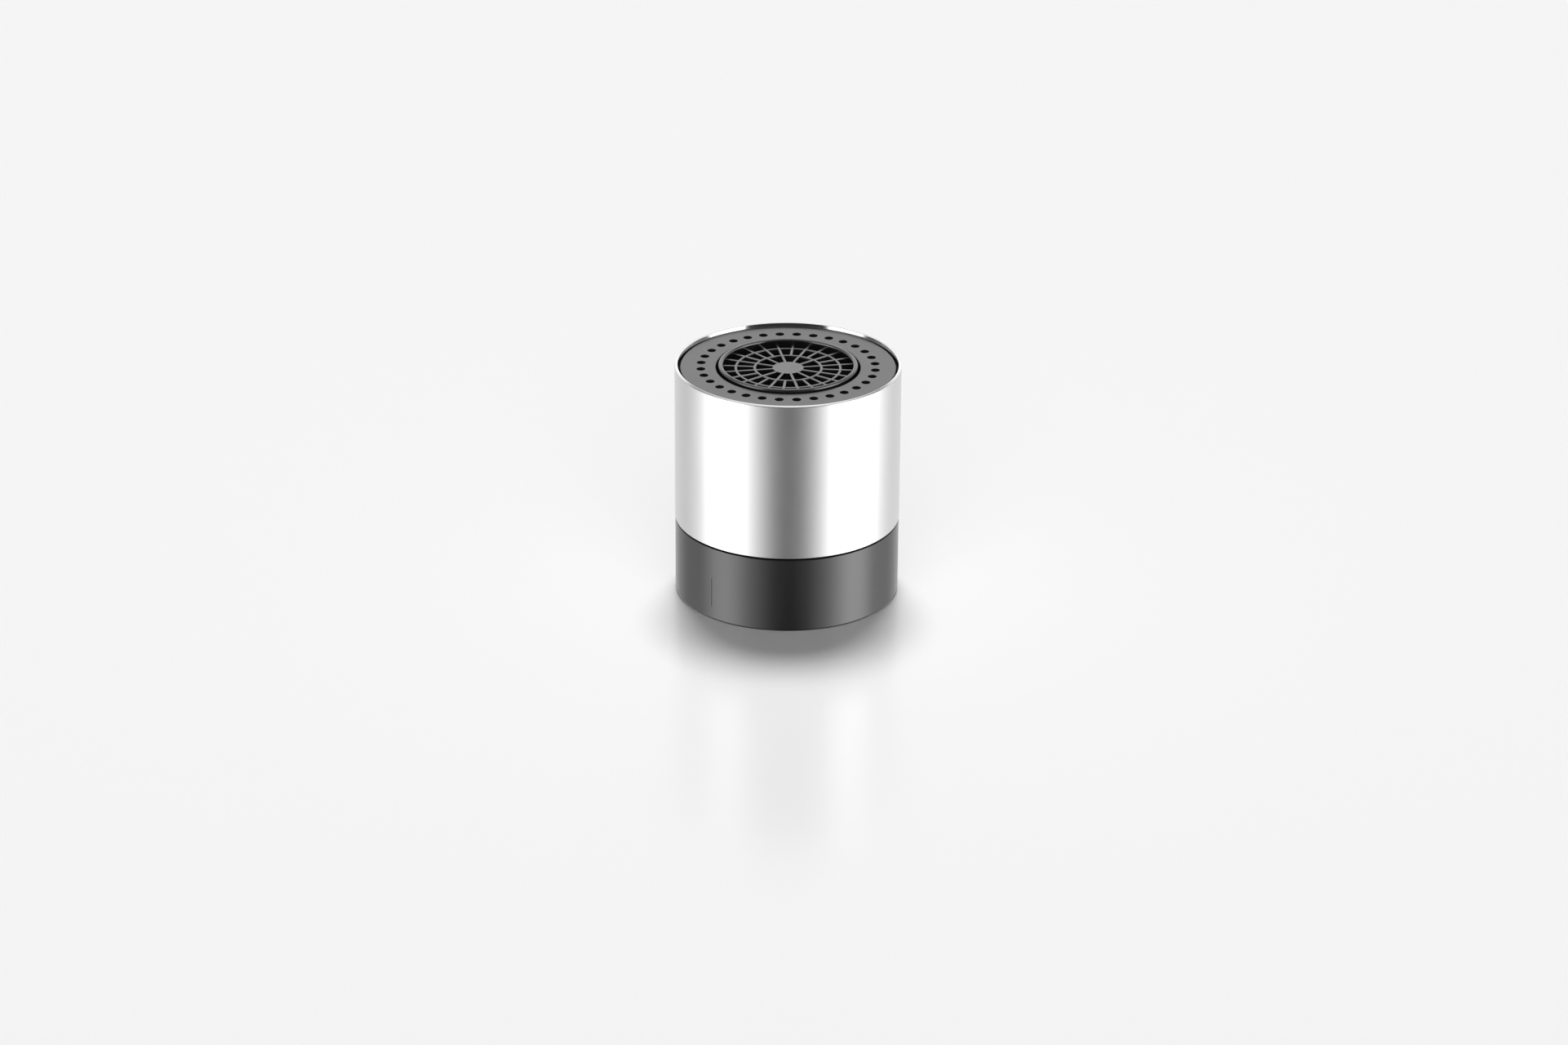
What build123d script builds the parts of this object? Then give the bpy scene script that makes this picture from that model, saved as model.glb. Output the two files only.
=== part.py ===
from build123d import *

import os
from math import degrees, sqrt

# Two-jet tap aerator with a twist head, standing on its inlet with the outlet face up.
# Millimetres. Z is the axis of the part, z = 0 is the inlet face of the collar.

# Thread socket in the collar, with the washer and the strainer at its end
thread_diameter = 22.0
thread_depth = 7.5
thread_lead_in = 0.5
relief_depth = 0.3
washer_thickness = 1.5
washer_bore = 15.6
washer_fit = 0.1
strainer_thickness = 0.5
strainer_slot = 0.9
strainer_bar = 0.6
strainer_rim = 0.5
throat_diameter = 16.0
collar_floor = 1.36
collar_edge = 0.25

# Hollow stem on the collar, with two ports to the head
stem_height = 7.0
stem_floor = 0.7
stem_wall = 1.2
stem_running_fit = 0.08
stem_seal_width = 1.4
stem_seal_height = 1.5
seal_clearance = 0.04
port_diameter = 3.6
port_seal_wall = 0.85
port_seal_depth = 2.4
port_gap = 0.25

# Pivot on the axis
screw_diameter = 3.0
screw_grip = 3.0
screw_tip_gap = 0.3
screw_head_diameter = 5.2
screw_head_height = 1.8
screw_recess_width = 0.8
screw_recess_length = 3.0
screw_recess_depth = 1.0
pivot_washer_diameter = 6.0
pivot_washer_thickness = 0.5
pivot_clearance = 0.05
screw_seal_width = 0.8
screw_seal_height = 0.8

# Quarter turn of the head, ended by a lug in a curved slot
twist_angle = 90.0
lug_angle = 16.0
lug_width = 1.2
lug_depth = 2.0
lug_clearance = 0.2
slot_wall = 0.9
stop_clearance = 0.1
seam_gap = 0.22

# Diverter core
port_plate = 2.0
duct_gap = 0.3
duct_wall = 0.8
duct_height = 2.6
duct_roof = 1.0
divider_wall = 0.9
spray_channel = 3.0
core_wall = 1.3
core_fit = 0.05
skirt_wall = 1.4
seat_width = 1.5

# Aerator insert
insert_diameter = 19.6
insert_wall = 0.7
insert_fit = 0.05
insert_edge = 0.2
insert_flange = 1.0
gasket_thickness = 0.8
jet_plate_thickness = 1.4
jet_count = 24
jet_size = 0.8
jet_circle = 13.0
leg_count = 4
leg_width = 0.6
leg_angle = 15.0
mixing_depth = 4.46
window_count = 8
window_width = 4.0
window_height = 1.8
window_rise = 0.6
screen_thickness = 0.5
screen_rim = 0.6
screen_bar = 0.6
screen_slot = 1.3
screen_spacing = 0.4
air_gap = 0.3

# Outlet grille of the insert
grille_thickness = 1.6
grille_recess = 0.63
grille_bar = 0.4
hub_diameter = 4.34
inner_ring_diameter = 9.36
outer_ring_diameter = 14.66
long_spokes = 12
spoke_start = 10.4

# Spray face and sleeve
ring_rise = 0.43
face_thickness = 1.5
face_recess = 0.45
face_edge_gap = 0.25
face_gasket_thickness = 0.4
hole_count = 32
hole_sides = 12
hole_diameter = 1.24
hole_circle = 24.5
sleeve_wall = 0.55
rim_edge = 0.2
rim_flare = 0.22
rim_flare_depth = 0.6
collar_step = 0.05

# Radii
thread_radius = thread_diameter / 2
relief_radius = thread_radius + relief_depth
throat_radius = throat_diameter / 2
port_radius = port_diameter / 2
screw_radius = screw_diameter / 2
port_circle = pivot_washer_diameter / 2 + duct_gap + duct_wall + port_radius
pocket_radius = port_radius + port_seal_wall + seal_clearance
stem_radius = port_circle + pocket_radius + stem_wall
stem_bore = stem_radius + stem_running_fit
seal_recess = stem_radius + stem_seal_width + 2 * seal_clearance
insert_radius = insert_diameter / 2
insert_bore = insert_radius - insert_wall
inner_fit = insert_bore - insert_fit
cup_radius = insert_radius + air_gap
chamber_radius = cup_radius - seat_width
channel_inner = cup_radius + divider_wall
channel_outer = channel_inner + spray_channel
core_radius = channel_outer + core_wall
sleeve_bore = core_radius + core_fit
sleeve_radius = sleeve_bore + sleeve_wall
collar_radius = sleeve_radius - collar_step
lug_inner = relief_radius + slot_wall + lug_clearance
lug_outer = lug_inner + lug_width
skirt_radius = max(lug_outer, seal_recess + skirt_wall)
screw_seal_bore = screw_radius + pivot_clearance
screw_seal_radius = screw_seal_bore + screw_seal_width

# Heights
shoulder = thread_depth + washer_thickness + strainer_thickness
collar_top = shoulder + collar_floor
stem_top = collar_top + stem_height
screw_tip = stem_top - screw_grip
screw_hole_low = screw_tip - screw_tip_gap
throat_top = screw_hole_low - stem_floor
pocket_low = stem_top - port_seal_depth
head_low = collar_top + seam_gap
seal_top = collar_top + stem_seal_height
plate_low = stem_top + port_gap
plate_top = plate_low + port_plate
duct_top = plate_top + duct_height
seat = duct_top + duct_roof
insert_low = seat + gasket_thickness
jet_plate_top = insert_low + jet_plate_thickness
screen_low = jet_plate_top + mixing_depth
spacer_low = screen_low + screen_thickness
spacer_top = spacer_low + screen_spacing
grille_low = spacer_top + screen_thickness
grille_top = grille_low + grille_thickness
ring_top = grille_top + grille_recess
face_top = ring_top - ring_rise
face_low = face_top - face_thickness
core_top = face_low - face_gasket_thickness
rim_top = face_top + face_recess


def lathe(*outline):
    """Turned solid from the corners of its half section, each a radius and a height."""
    return revolve(Plane.XZ * make_face(Polyline(*outline, close=True)), Axis.Z)


def tube(bore, outside, low, high):
    return lathe((bore, low), (outside, low), (outside, high), (bore, high))


def rod(radius, low, high, along=0, angle=0):
    """Upright cylinder, at a distance from the axis and an angle round it."""
    upright = Cylinder(radius, high - low, align=(Align.CENTER, Align.CENTER, Align.MIN))
    return Rot(0, 0, angle) * Pos(along, 0, low) * upright


def block(start, end, width, low, high, angle=0):
    """Upright block along a radius, from one distance from the axis to another."""
    solid = Box(end - start, width, high - low, align=(Align.MIN, Align.CENTER, Align.MIN))
    return Rot(0, 0, angle) * Pos(start, 0, low) * solid


def sector(inner, outer, low, high, start, sweep):
    """Part of a tube, from a start angle through a sweep."""
    section = make_face(Polyline((inner, low), (outer, low), (outer, high), (inner, high), close=True))
    return Rot(0, 0, start) * revolve(Plane.XZ * section, Axis.Z, sweep)


def barred_disc(radius, rim, slot, bar, low, high, angle=0):
    """Round plate with parallel slots that leave bars between them and a rim round them."""
    plate = rod(radius, low, high)
    reach = radius - rim
    pitch = slot + bar
    count = int((2 * reach - slot) / pitch)
    first = -(count - 1) * pitch / 2
    for step in range(count):
        offset = first + step * pitch
        half_length = sqrt(reach**2 - (abs(offset) + slot / 2) ** 2)
        opening = Box(2 * half_length, slot, high - low, align=(Align.CENTER, Align.CENTER, Align.MIN))
        plate -= Rot(0, 0, angle) * Pos(0, offset, low) * opening
    return plate


# The fixed side of the stop: the slot lets the lug turn by the twist angle
lug_middle = (lug_inner + lug_outer) / 2
stop_angle = degrees(stop_clearance / lug_middle)
lug_start = -lug_angle / 2
port_angles = (0, 180)
duct_angles = (90, 270)


def make_inlet_collar():
    collar = lathe(
        (thread_radius + thread_lead_in, 0),
        (collar_radius - collar_edge, 0),
        (collar_radius, collar_edge),
        (collar_radius, collar_top),
        (stem_radius, collar_top),
        (stem_radius, stem_top),
        (0, stem_top),
        (0, throat_top),
        (throat_radius, throat_top),
        (throat_radius, shoulder),
        (relief_radius, shoulder),
        (relief_radius, thread_depth),
        (thread_radius, thread_depth),
        (thread_radius, thread_lead_in),
    )
    for angle in port_angles:
        collar -= rod(port_radius, throat_top, stem_top, port_circle, angle)
        collar -= rod(pocket_radius, pocket_low, stem_top, port_circle, angle)
    collar -= rod(screw_radius + pivot_clearance, screw_hole_low, stem_top)
    slot_low = head_low - lug_depth - lug_clearance
    slot_start = lug_start - stop_angle
    slot_sweep = lug_angle + twist_angle + 2 * stop_angle
    collar -= sector(
        lug_inner - lug_clearance,
        lug_outer + lug_clearance,
        slot_low,
        collar_top,
        slot_start,
        slot_sweep,
    )
    return collar


def make_inlet_washer():
    outside = relief_radius - washer_fit
    return tube(washer_bore / 2, outside, thread_depth, thread_depth + washer_thickness)


def make_inlet_strainer():
    outside = relief_radius - washer_fit
    rim = outside - throat_radius + strainer_rim
    low = shoulder - strainer_thickness
    return barred_disc(outside, rim, strainer_slot, strainer_bar, low, shoulder)


def make_stem_seal():
    inside = stem_radius + seal_clearance
    return tube(inside, inside + stem_seal_width, collar_top, seal_top)


def make_port_seal(angle):
    outside = port_radius + port_seal_wall
    high = plate_low - seal_clearance
    seal = rod(outside, pocket_low, high, port_circle, angle)
    return seal - rod(port_radius, pocket_low, high, port_circle, angle)


def make_pivot_washer():
    low = plate_top + pivot_clearance
    bore = screw_radius + pivot_clearance
    return tube(bore, pivot_washer_diameter / 2, low, low + pivot_washer_thickness)


def make_screw_seal():
    return tube(screw_seal_bore, screw_seal_radius, plate_top - screw_seal_height, plate_top)


def make_pivot_screw():
    head_low_face = plate_top + pivot_clearance + pivot_washer_thickness
    head_top = head_low_face + screw_head_height
    screw = rod(screw_radius, screw_tip, head_low_face)
    screw += rod(screw_head_diameter / 2, head_low_face, head_top)
    half = screw_recess_length / 2
    for angle in (0, 90):
        screw -= block(-half, half, screw_recess_width, head_top - screw_recess_depth, head_top, angle)
    return screw


def make_sleeve():
    return lathe(
        (sleeve_bore, head_low),
        (sleeve_radius, head_low),
        (sleeve_radius, rim_top - rim_edge),
        (sleeve_radius - rim_edge, rim_top),
        (sleeve_bore + rim_flare, rim_top),
        (sleeve_bore, rim_top - rim_flare_depth),
    )


def make_diverter_core():
    recess_top = seal_top + seal_clearance
    core = lathe(
        (seal_recess, head_low),
        (skirt_radius, head_low),
        (skirt_radius, plate_low),
        (core_radius, plate_low),
        (core_radius, core_top),
        (channel_outer, core_top),
        (channel_outer, plate_top),
        (channel_inner, plate_top),
        (channel_inner, core_top),
        (cup_radius, core_top),
        (cup_radius, seat),
        (chamber_radius, seat),
        (chamber_radius, plate_top),
        (0, plate_top),
        (0, plate_low),
        (stem_bore, plate_low),
        (stem_bore, recess_top),
        (seal_recess, recess_top),
    )
    duct_width = port_diameter + 2 * duct_wall
    for angle in duct_angles:
        start = port_circle - port_radius - duct_wall
        core += block(start, chamber_radius + duct_wall, duct_width, plate_top, seat, angle)
        core -= block(port_circle, channel_inner + duct_wall, port_diameter, plate_top, duct_top, angle)
        core -= rod(port_radius, plate_low, duct_top, port_circle, angle)
    for angle in port_angles:
        core -= rod(port_radius, plate_low, plate_top, port_circle, angle)
    core -= rod(screw_seal_bore, plate_low, plate_top)
    core -= rod(screw_seal_radius + seal_clearance, plate_top - screw_seal_height, plate_top)
    core += sector(lug_inner, lug_outer, head_low - lug_depth, head_low, lug_start, lug_angle)
    return core


def make_spray_face():
    plan = Circle(sleeve_bore - face_edge_gap) - Circle(cup_radius)
    half_pitch = 180 / hole_count
    for place in PolarLocations(hole_circle / 2, hole_count, half_pitch):
        plan -= place * RegularPolygon(hole_diameter / 2, hole_sides)
    return Pos(0, 0, face_low) * extrude(plan, face_thickness)


def make_face_gasket(bore, outside):
    return tube(bore, outside, core_top, face_low)


def make_grille():
    """Hub, two rings and two sets of spokes, every other spoke ending at the inner ring."""
    plan = Circle(hub_diameter / 2)
    for diameter in (inner_ring_diameter, outer_ring_diameter):
        middle = diameter / 2
        plan += Circle(middle + grille_bar / 2) - Circle(middle - grille_bar / 2)
    reach = insert_radius - insert_wall / 2
    spoke_pitch = 360 / long_spokes
    starts = {spoke_start: 0, spoke_start + spoke_pitch / 2: inner_ring_diameter / 2}
    for start_angle, inner_end in starts.items():
        middle = (inner_end + reach) / 2
        for place in PolarLocations(middle, long_spokes, start_angle):
            plan += place * Rectangle(reach - inner_end, grille_bar)
    return Pos(0, 0, grille_low) * extrude(plan, grille_thickness)


def make_aerator_housing():
    flange_radius = cup_radius - insert_fit
    housing = lathe(
        (insert_bore, insert_low),
        (flange_radius, insert_low),
        (flange_radius, insert_low + insert_flange),
        (insert_radius, insert_low + insert_flange),
        (insert_radius, ring_top - insert_edge),
        (insert_radius - insert_edge, ring_top),
        (insert_bore + insert_edge, ring_top),
        (insert_bore, ring_top - insert_edge),
    )
    window_low = jet_plate_top + window_rise
    for step in range(window_count):
        angle = step * 360 / window_count
        housing -= block(
            insert_bore - insert_wall,
            insert_radius + insert_wall,
            window_width,
            window_low,
            window_low + window_height,
            angle,
        )
    return housing + make_grille()


def make_aerator_gasket():
    return tube(chamber_radius + insert_fit, cup_radius - insert_fit, seat, insert_low)


def make_jet_plate():
    plate = rod(inner_fit, insert_low, jet_plate_top)
    for place in PolarLocations(jet_circle / 2, jet_count):
        jet = Box(jet_size, jet_size, jet_plate_thickness, align=(Align.CENTER, Align.CENTER, Align.MIN))
        plate -= place * Pos(0, 0, insert_low) * jet
    between_windows = 180 / window_count
    for step in range(leg_count):
        start = step * 360 / leg_count + between_windows - leg_angle / 2
        plate += sector(inner_fit - leg_width, inner_fit, jet_plate_top, screen_low, start, leg_angle)
    return plate


def make_screen(low, angle):
    return barred_disc(inner_fit, screen_rim, screen_slot, screen_bar, low, low + screen_thickness, angle)


def make_screen_spacer():
    return tube(inner_fit - screen_rim, inner_fit, spacer_low, spacer_top)


nodes = {
    "inlet_collar": make_inlet_collar(),
    "inlet_washer": make_inlet_washer(),
    "inlet_strainer": make_inlet_strainer(),
    "stem_seal": make_stem_seal(),
    "port_seal_1": make_port_seal(port_angles[0]),
    "port_seal_2": make_port_seal(port_angles[1]),
    "pivot_washer": make_pivot_washer(),
    "pivot_screw": make_pivot_screw(),
    "sleeve": make_sleeve(),
    "diverter_core": make_diverter_core(),
    "spray_face": make_spray_face(),
    "face_gasket_outer": make_face_gasket(channel_outer, core_radius),
    "face_gasket_inner": make_face_gasket(cup_radius, channel_inner),
    "aerator_housing": make_aerator_housing(),
    "screw_seal": make_screw_seal(),
    "aerator_gasket": make_aerator_gasket(),
    "jet_plate": make_jet_plate(),
    "screen_lower": make_screen(screen_low, 0),
    "screen_spacer": make_screen_spacer(),
    "screen_upper": make_screen(spacer_top, 90),
}

os.makedirs("parts", exist_ok=True)
for name, solid in nodes.items():
    export_step(solid, f"parts/{name}.step")
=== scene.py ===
import math

import bmesh
import bpy
from mathutils import Matrix, Quaternion, Vector


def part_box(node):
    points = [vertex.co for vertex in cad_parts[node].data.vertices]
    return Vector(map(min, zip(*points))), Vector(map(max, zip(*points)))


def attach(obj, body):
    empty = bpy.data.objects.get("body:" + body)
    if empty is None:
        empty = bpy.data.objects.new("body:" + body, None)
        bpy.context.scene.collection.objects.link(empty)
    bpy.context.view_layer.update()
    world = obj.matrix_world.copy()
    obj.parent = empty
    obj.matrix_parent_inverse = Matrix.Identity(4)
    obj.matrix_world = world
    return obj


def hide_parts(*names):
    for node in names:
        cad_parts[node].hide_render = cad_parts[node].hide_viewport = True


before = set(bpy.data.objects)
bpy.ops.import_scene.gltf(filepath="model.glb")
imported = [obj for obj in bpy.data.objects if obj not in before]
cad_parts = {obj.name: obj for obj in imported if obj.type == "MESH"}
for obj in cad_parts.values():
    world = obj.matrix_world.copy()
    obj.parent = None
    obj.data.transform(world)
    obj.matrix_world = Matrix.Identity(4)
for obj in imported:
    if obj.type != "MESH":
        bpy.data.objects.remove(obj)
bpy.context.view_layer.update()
scene = bpy.context.scene
scene.view_settings.view_transform = "Standard"
mm = 0.001


# camera at the photo's viewing angle, angles in degrees
photoView = {
    "lens": 105.0,
    "sensor": 36.0,
    "distance": 0.650,
    "elevation": 23.94,
    "roll": 0.4,
    "target": (-0.000424, 0.0, 0.009641),
    "clip": (0.01, 30),
}


def placeCamera(view):
    data = bpy.data.cameras.new("photoCamera")
    data.lens = view["lens"]
    data.sensor_width = view["sensor"]
    data.clip_start, data.clip_end = view["clip"]
    camera = bpy.data.objects.new("photoCamera", data)
    scene.collection.objects.link(camera)
    tilt = math.radians(view["elevation"])
    back = Vector((0, -math.cos(tilt), math.sin(tilt)))
    roll = Quaternion((0, 0, 1), math.radians(view["roll"]))
    camera.rotation_mode = "QUATERNION"
    camera.rotation_quaternion = (-back).to_track_quat("-Z", "Y") @ roll
    camera.location = Vector(view["target"]) + back * view["distance"]
    scene.camera = camera


placeCamera(photoView)
print("camera placed")


# node helpers, used by finishes, light and node trees
def addNode(tree, kind, inputs=None, **settings):
    made = tree.nodes.new(kind)
    for key, value in settings.items():
        setattr(made, key, value)
    for key, value in (inputs or {}).items():
        if isinstance(value, bpy.types.NodeSocket):
            tree.links.new(value, made.inputs[key])
        else:
            made.inputs[key].default_value = value
    return made


def calc(tree, operation, first, second=0.0, third=0.0):
    values = {0: first, 1: second, 2: third}
    return addNode(tree, "ShaderNodeMath", values, operation=operation).outputs[0]


def between(tree, value, fromLow, fromHigh, low, high):
    sizes = {"Value": value, "From Min": fromLow, "From Max": fromHigh, "To Min": low, "To Max": high}
    return addNode(tree, "ShaderNodeMapRange", sizes).outputs[0]


def spotAt(tree, x=0.0, y=0.0, z=0.0):
    return addNode(tree, "ShaderNodeCombineXYZ", {"X": x, "Y": y, "Z": z}).outputs[0]


def lengthOf(tree, vector):
    return addNode(tree, "ShaderNodeVectorMath", {0: vector}, operation="LENGTH").outputs["Value"]


def stretched(tree, place, scale):
    return addNode(tree, "ShaderNodeMapping", {"Vector": place, "Scale": scale}).outputs[0]


def noise(tree, place, scale, detail=2.0, roughness=0.5):
    sizes = {"Vector": place, "Scale": scale, "Detail": detail, "Roughness": roughness}
    return addNode(tree, "ShaderNodeTexNoise", sizes).outputs[0]


def overNoise(tree, value, low, high):
    # noise seldom leaves the middle of its range
    return between(tree, value, 0.3, 0.7, low, high)


def blendColour(tree, share, first, second):
    values = {0: share}
    for key, colour in ((6, first), (7, second)):
        values[key] = colour if isinstance(colour, bpy.types.NodeSocket) else (*colour, 1)
    return addNode(tree, "ShaderNodeMix", values, data_type="RGBA").outputs[2]


def bumped(tree, height, strength, depth):
    values = {"Height": height, "Strength": strength, "Distance": depth}
    return addNode(tree, "ShaderNodeBump", values).outputs[0]


def emptyFinish(name):
    finish = bpy.data.materials.new(name)
    finish.use_nodes = True
    finish.node_tree.nodes.clear()
    return finish, finish.node_tree


def startFinish(name):
    finish, tree = emptyFinish(name)
    place = tree.nodes.new("ShaderNodeTexCoord").outputs["Object"]
    return finish, tree, place


def endFinish(finish, tree, look):
    surface = addNode(tree, "ShaderNodeBsdfPrincipled", look).outputs[0]
    addNode(tree, "ShaderNodeOutputMaterial", {"Surface": surface})
    return finish


def dust(tree, place, scale, size, rare=0.8):
    # a few separate grains, 1 on a grain and 0 between them
    cells = addNode(tree, "ShaderNodeTexVoronoi", {"Vector": place, "Scale": scale, "Randomness": 1.0})
    draw = addNode(tree, "ShaderNodeSeparateColor", {0: cells.outputs["Color"]}).outputs[0]
    grain = calc(tree, "LESS_THAN", cells.outputs["Distance"], size)
    return calc(tree, "MULTIPLY", grain, calc(tree, "GREATER_THAN", draw, rare))


# finishes
def satinChrome():
    # satin wall with fine lathe lines, smears and dust, and a polished rim
    sizes = {
        "light": (0.82, 0.82, 0.82), "dark": (0.77, 0.77, 0.775), "rough": (0.25, 0.31),
        "lines": (45, 45, 9000), "lineRough": 0.04, "lineBump": 0.12, "lineDepth": 0.01 * mm,
        "smears": (160, 160, 60), "dustScale": 260.0, "dustSize": 0.035, "dustRough": 0.3,
        "rimFull": 15.7 * mm, "rimEnd": 15.85 * mm, "rimShare": 0.45,
    }
    finish, tree, place = startFinish("satinChrome")
    lines = noise(tree, stretched(tree, place, sizes["lines"]), 1.0, 3.0)
    smears = noise(tree, stretched(tree, place, sizes["smears"]), 1.0, 4.0, 0.6)
    marks = dust(tree, place, sizes["dustScale"], sizes["dustSize"])
    rough = overNoise(tree, smears, *sizes["rough"])
    rough = calc(tree, "MULTIPLY_ADD", lines, sizes["lineRough"], rough)
    rough = calc(tree, "MULTIPLY_ADD", marks, sizes["dustRough"], rough)
    radius = lengthOf(tree, stretched(tree, place, (1, 1, 0)))
    polish = between(tree, radius, sizes["rimFull"], sizes["rimEnd"], sizes["rimShare"], 1.0)
    return endFinish(finish, tree, {
        "Base Color": blendColour(tree, smears, sizes["dark"], sizes["light"]),
        "Metallic": 1.0,
        "Roughness": calc(tree, "MULTIPLY", rough, polish),
        "Normal": bumped(tree, lines, sizes["lineBump"], sizes["lineDepth"]),
    })


# what all the black mouldings share
mouldingSizes = {
    "dustScale": 700.0,
    "dustSize": 0.05,
    "dustTone": (0.3, 0.3, 0.3),
    "dustRough": 0.25,
    "grainDepth": 0.02 * mm,
}


def mouldedPlastic(name, sizes):
    # fine spark-eroded grain, flow streaks, a few grains of dust
    finish, tree, place = startFinish(name)
    grain = noise(tree, place, sizes["grain"])
    flow = noise(tree, stretched(tree, place, sizes["flow"]), 1.0, 4.0, 0.6)
    specks = dust(tree, place, mouldingSizes["dustScale"], mouldingSizes["dustSize"])
    tone = blendColour(tree, overNoise(tree, flow, 0.0, 1.0), sizes["dark"], sizes["light"])
    tone = blendColour(tree, calc(tree, "MULTIPLY", specks, sizes["dust"]), tone, mouldingSizes["dustTone"])
    rough = overNoise(tree, flow, *sizes["rough"])
    return endFinish(finish, tree, {
        "Base Color": tone,
        "Roughness": calc(tree, "MULTIPLY_ADD", specks, mouldingSizes["dustRough"], rough),
        "IOR": sizes["ior"],
        "Normal": bumped(tree, grain, sizes["bump"], mouldingSizes["grainDepth"]),
    })


def sealRubber():
    # matt rubber with a pale bloom and a fine skin
    sizes = {
        "light": (0.022, 0.022, 0.023), "dark": (0.012, 0.012, 0.012), "rough": (0.55, 0.75),
        "bloom": 500.0, "skin": 6000.0, "skinBump": 0.25, "skinDepth": 0.02 * mm,
    }
    finish, tree, place = startFinish("sealRubber")
    bloom = noise(tree, place, sizes["bloom"], 5.0, 0.65)
    skin = noise(tree, place, sizes["skin"])
    return endFinish(finish, tree, {
        "Base Color": blendColour(tree, bloom, sizes["dark"], sizes["light"]),
        "Roughness": overNoise(tree, bloom, *sizes["rough"]),
        "Normal": bumped(tree, skin, sizes["skinBump"], sizes["skinDepth"]),
    })


def stainlessSteel():
    # drawn steel with a faint cloud
    sizes = {
        "light": (0.62, 0.61, 0.60), "dark": (0.50, 0.49, 0.48), "rough": (0.22, 0.38),
        "drawn": (400, 6000, 6000), "drawnBump": 0.15, "drawnDepth": 0.01 * mm, "cloud": 700.0,
    }
    finish, tree, place = startFinish("stainlessSteel")
    drawn = noise(tree, stretched(tree, place, sizes["drawn"]), 1.0, 3.0)
    cloud = noise(tree, place, sizes["cloud"], 3.0)
    return endFinish(finish, tree, {
        "Base Color": blendColour(tree, cloud, sizes["dark"], sizes["light"]),
        "Metallic": 1.0,
        "Roughness": overNoise(tree, drawn, *sizes["rough"]),
        "Normal": bumped(tree, drawn, sizes["drawnBump"], sizes["drawnDepth"]),
    })


chrome = satinChrome()
collarBlack = mouldedPlastic("collarBlack", {
    "light": (0.012, 0.012, 0.0122), "dark": (0.008, 0.008, 0.0082), "rough": (0.16, 0.24), "ior": 1.8,
    "grain": 5000.0, "flow": (220, 220, 40), "bump": 0.05, "dust": 0.25,
})
faceBlack = mouldedPlastic("faceBlack", {
    "light": (0.015, 0.015, 0.0152), "dark": (0.010, 0.010, 0.0102), "rough": (0.20, 0.28), "ior": 1.77,
    "grain": 5500.0, "flow": (180, 180, 180), "bump": 0.05, "dust": 0.2,
})
insertBlack = mouldedPlastic("insertBlack", {
    "light": (0.015, 0.015, 0.0152), "dark": (0.010, 0.010, 0.0102), "rough": (0.18, 0.26), "ior": 2.0,
    "grain": 6000.0, "flow": (300, 300, 300), "bump": 0.06, "dust": 0.3,
})
innerBlack = mouldedPlastic("innerBlack", {
    "light": (0.006, 0.006, 0.006), "dark": (0.003, 0.003, 0.003), "rough": (0.55, 0.7), "ior": 1.3,
    "grain": 4500.0, "flow": (260, 260, 120), "bump": 0.08, "dust": 0.05,
})
rubber = sealRubber()
steel = stainlessSteel()
print("finishes made")


# mesh helpers
def onCircle(radius, angle, height, middle=(0, 0)):
    return (middle[0] + radius * math.cos(angle), middle[1] + radius * math.sin(angle), height)


def inMetres(loop):
    return [(radius * mm, height * mm) for radius, height in loop]


def roundLoop(corners, steps=5):
    # closed half section from (radius, height, rounding) corners in mm
    loop = []
    for i, (radius, height, rounding) in enumerate(corners):
        here = Vector((radius, height))
        if rounding == 0:
            loop.append(here * mm)
            continue
        before = (Vector(corners[i - 1][:2]) - here).normalized()
        after = (Vector(corners[(i + 1) % len(corners)][:2]) - here).normalized()
        half = before.angle(after) / 2
        centre = here + (before + after).normalized() * (rounding / math.sin(half))
        start = here + before * (rounding / math.tan(half)) - centre
        end = here + after * (rounding / math.tan(half)) - centre
        first = math.atan2(start.y, start.x)
        sweep = math.atan2(end.y, end.x) - first
        sweep = (sweep + math.pi) % (2 * math.pi) - math.pi
        for step in range(steps + 1):
            angle = first + sweep * step / steps
            loop.append((centre + Vector((math.cos(angle), math.sin(angle))) * rounding) * mm)
    return loop


def turnSection(build, loop, sides, middle=(0, 0)):
    # adds a turned closed shell to the mesh in hand
    angles = [2 * math.pi * i / sides for i in range(sides)]
    rings = []
    for radius, height in loop:
        onAxis = radius < 1e-9
        spots = [(*middle, height)] if onAxis else [onCircle(radius, a, height, middle) for a in angles]
        rings.append([build.verts.new(spot) for spot in spots])
    for low, high in zip(rings, rings[1:] + rings[:1]):
        for i in range(sides):
            j = i + 1
            corners = [low[i % len(low)], low[j % len(low)], high[j % len(high)], high[i % len(high)]]
            corners = list(dict.fromkeys(corners))
            if len(corners) > 2:
                build.faces.new(corners)


def meshFrom(name, build):
    bmesh.ops.recalc_face_normals(build, faces=build.faces)
    mesh = bpy.data.meshes.new(name)
    build.to_mesh(mesh)
    build.free()
    return mesh


def newObject(name, mesh):
    piece = bpy.data.objects.new(name, mesh)
    scene.collection.objects.link(piece)
    return piece


def settle(piece):
    # what the modifiers make becomes the piece's plain mesh
    graph = bpy.context.evaluated_depsgraph_get()
    made = bpy.data.meshes.new_from_object(piece.evaluated_get(graph))
    piece.modifiers.clear()
    piece.data = made
    made.name = piece.name
    return piece


def cutBy(piece, cutter):
    tool = piece.modifiers.new("cut", "BOOLEAN")
    tool.operation = "DIFFERENCE"
    tool.solver = "EXACT"
    tool.object = cutter
    settle(piece)
    bpy.data.objects.remove(cutter)
    return piece


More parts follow.
